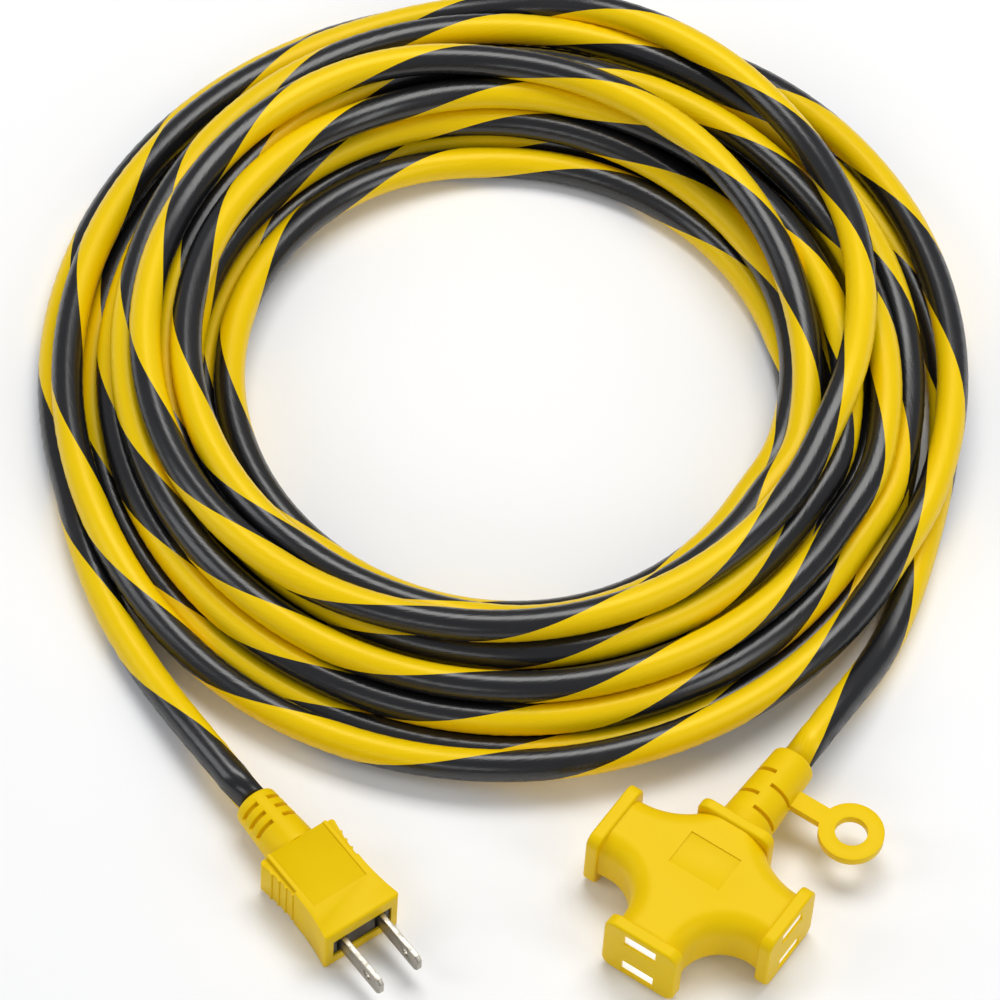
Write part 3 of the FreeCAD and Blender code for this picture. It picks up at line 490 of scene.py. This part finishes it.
def makeFinishes():
    fine = (900.0, 900.0, 4000.0)
    return {
        "yellow_pvc": softYellow(),
        "cord_jacket": jacketPaint("jacketCut", (0.80, 0.545, 0.0), (0.92, 0.66, 0.006), 0.3, 0.2),
        # the last numbers of the two white mouldings are painted glow: emission that keeps the shutters and
        # the white inner parts behind the windows white in their shade
        "white_thermoset": plainMoulding("whiteThermoset", (0.84, 0.84, 0.82), (0.92, 0.92, 0.90),
                                         0.45, 1800.0, 0.25),
        "dark_block": plainMoulding("darkBlock", (0.030, 0.023, 0.016), (0.058, 0.046, 0.034), 0.36, 1600.0),
        "white_plastic": plainMoulding("whiteShutter", (0.90, 0.90, 0.89), (0.95, 0.95, 0.94),
                                       0.34, 1500.0, 0.40),
        "brass_parts": drawnMetal("stampedBrass", (0.52, 0.34, 0.12), (0.83, 0.62, 0.29), 0.20, fine),
        "nickel_blades": drawnMetal("nickelBlade", (0.20, 0.18, 0.15), (0.46, 0.43, 0.37), 0.30, fine),
        "steel_wire": drawnMetal("springSteel", (0.38, 0.38, 0.38), (0.66, 0.66, 0.66), 0.22, fine),
        "tinned_crimp": drawnMetal("tinnedCrimp", (0.50, 0.50, 0.49), (0.74, 0.74, 0.72), 0.28, fine),
        "bare_copper": drawnMetal("bareCopper", (0.42, 0.17, 0.08), (0.80, 0.42, 0.25), 0.26, fine),
        "black_insulation": plainMoulding("blackCore", (0.012, 0.012, 0.012), (0.026, 0.026, 0.026),
                                          0.4, 1500.0),
        "white_insulation": plainMoulding("whiteCore", (0.72, 0.72, 0.70), (0.84, 0.84, 0.82), 0.4, 1500.0),
    }


skinAngles = {
    "bevelled": math.radians(28),   # edges sharper than this are broken
    "smooth": math.radians(35),
}


def smoothSkin(name, piece, slot, edge):
    # a merged copy of a moulding whose sharp edges are broken as a mould leaves them
    node = frame["nodes"][name]
    skin = bpy.data.objects.new(piece, node.data.copy())
    bpy.context.scene.collection.objects.link(skin)
    pick(skin)
    bpy.ops.object.mode_set(mode="EDIT")
    bpy.ops.mesh.select_all(action="SELECT")
    bpy.ops.mesh.remove_doubles(threshold=0.000002)
    bpy.ops.object.mode_set(mode="OBJECT")
    bevel = skin.modifiers.new("brokenEdges", "BEVEL")
    bevel.width = edge
    bevel.segments = 2
    bevel.limit_method = "ANGLE"
    bevel.angle_limit = skinAngles["bevelled"]
    bpy.ops.object.modifier_apply(modifier=bevel.name)
    bpy.ops.object.shade_smooth_by_angle(angle=skinAngles["smooth"])
    skin.data.materials.clear()
    skin.data.materials.append(finishes[slot])
    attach(skin, "root")
    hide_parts(name)
    return skin


def softSpring(name, finish):
    # a copy of a spring with its own mesh, in the given finish, that stands in for the hidden node
    node = frame["nodes"][name]
    spring = bpy.data.objects.new(name + "_soft", node.data.copy())
    bpy.context.scene.collection.objects.link(spring)
    spring.data.materials.clear()
    spring.data.materials.append(finish)
    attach(spring, "root")
    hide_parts(name)
    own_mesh(spring)


def paintNode(node, finish):
    if not node.material_slots:
        node.data.materials.append(finish)
    for slot in node.material_slots:
        slot.link = "OBJECT"
        slot.material = finish


makeCamera()
makeLights()
makeFloor()
print("studio ready")
finishes = makeFinishes()
slots = {part["node"]: part["material_slot"] for part in frame["record"]["subparts"]}
for name, slot in slots.items():
    paintNode(frame["nodes"][name], finishes[slot])
for outlet in ("front", "left", "right"):
    for pole in ("upper", "lower"):
        softSpring(f"{outlet}_{pole}_spring", finishes["steel_wire"])
print("springs ready")
cord, cordPath, cordLength = makeCord()
skins = {
    # piece: the node that it stands for, and how far its edges are broken
    "tapJacket": ("tap_jacket", 0.00018),
    "tapRelief": ("tap_strain_relief", 0.00022),
    "plugJacket": ("plug_jacket", 0.00025),
    "plugRelief": ("plug_strain_relief", 0.00022),
    "plugBlock": ("plug_inner_block", 0.00015),
    "leftBlade": ("left_blade", 0.00008),
    "rightBlade": ("right_blade", 0.00008),
}
for piece, (name, edge) in skins.items():
    smoothSkin(name, piece, slots[name], edge)
print("mouldings smoothed")
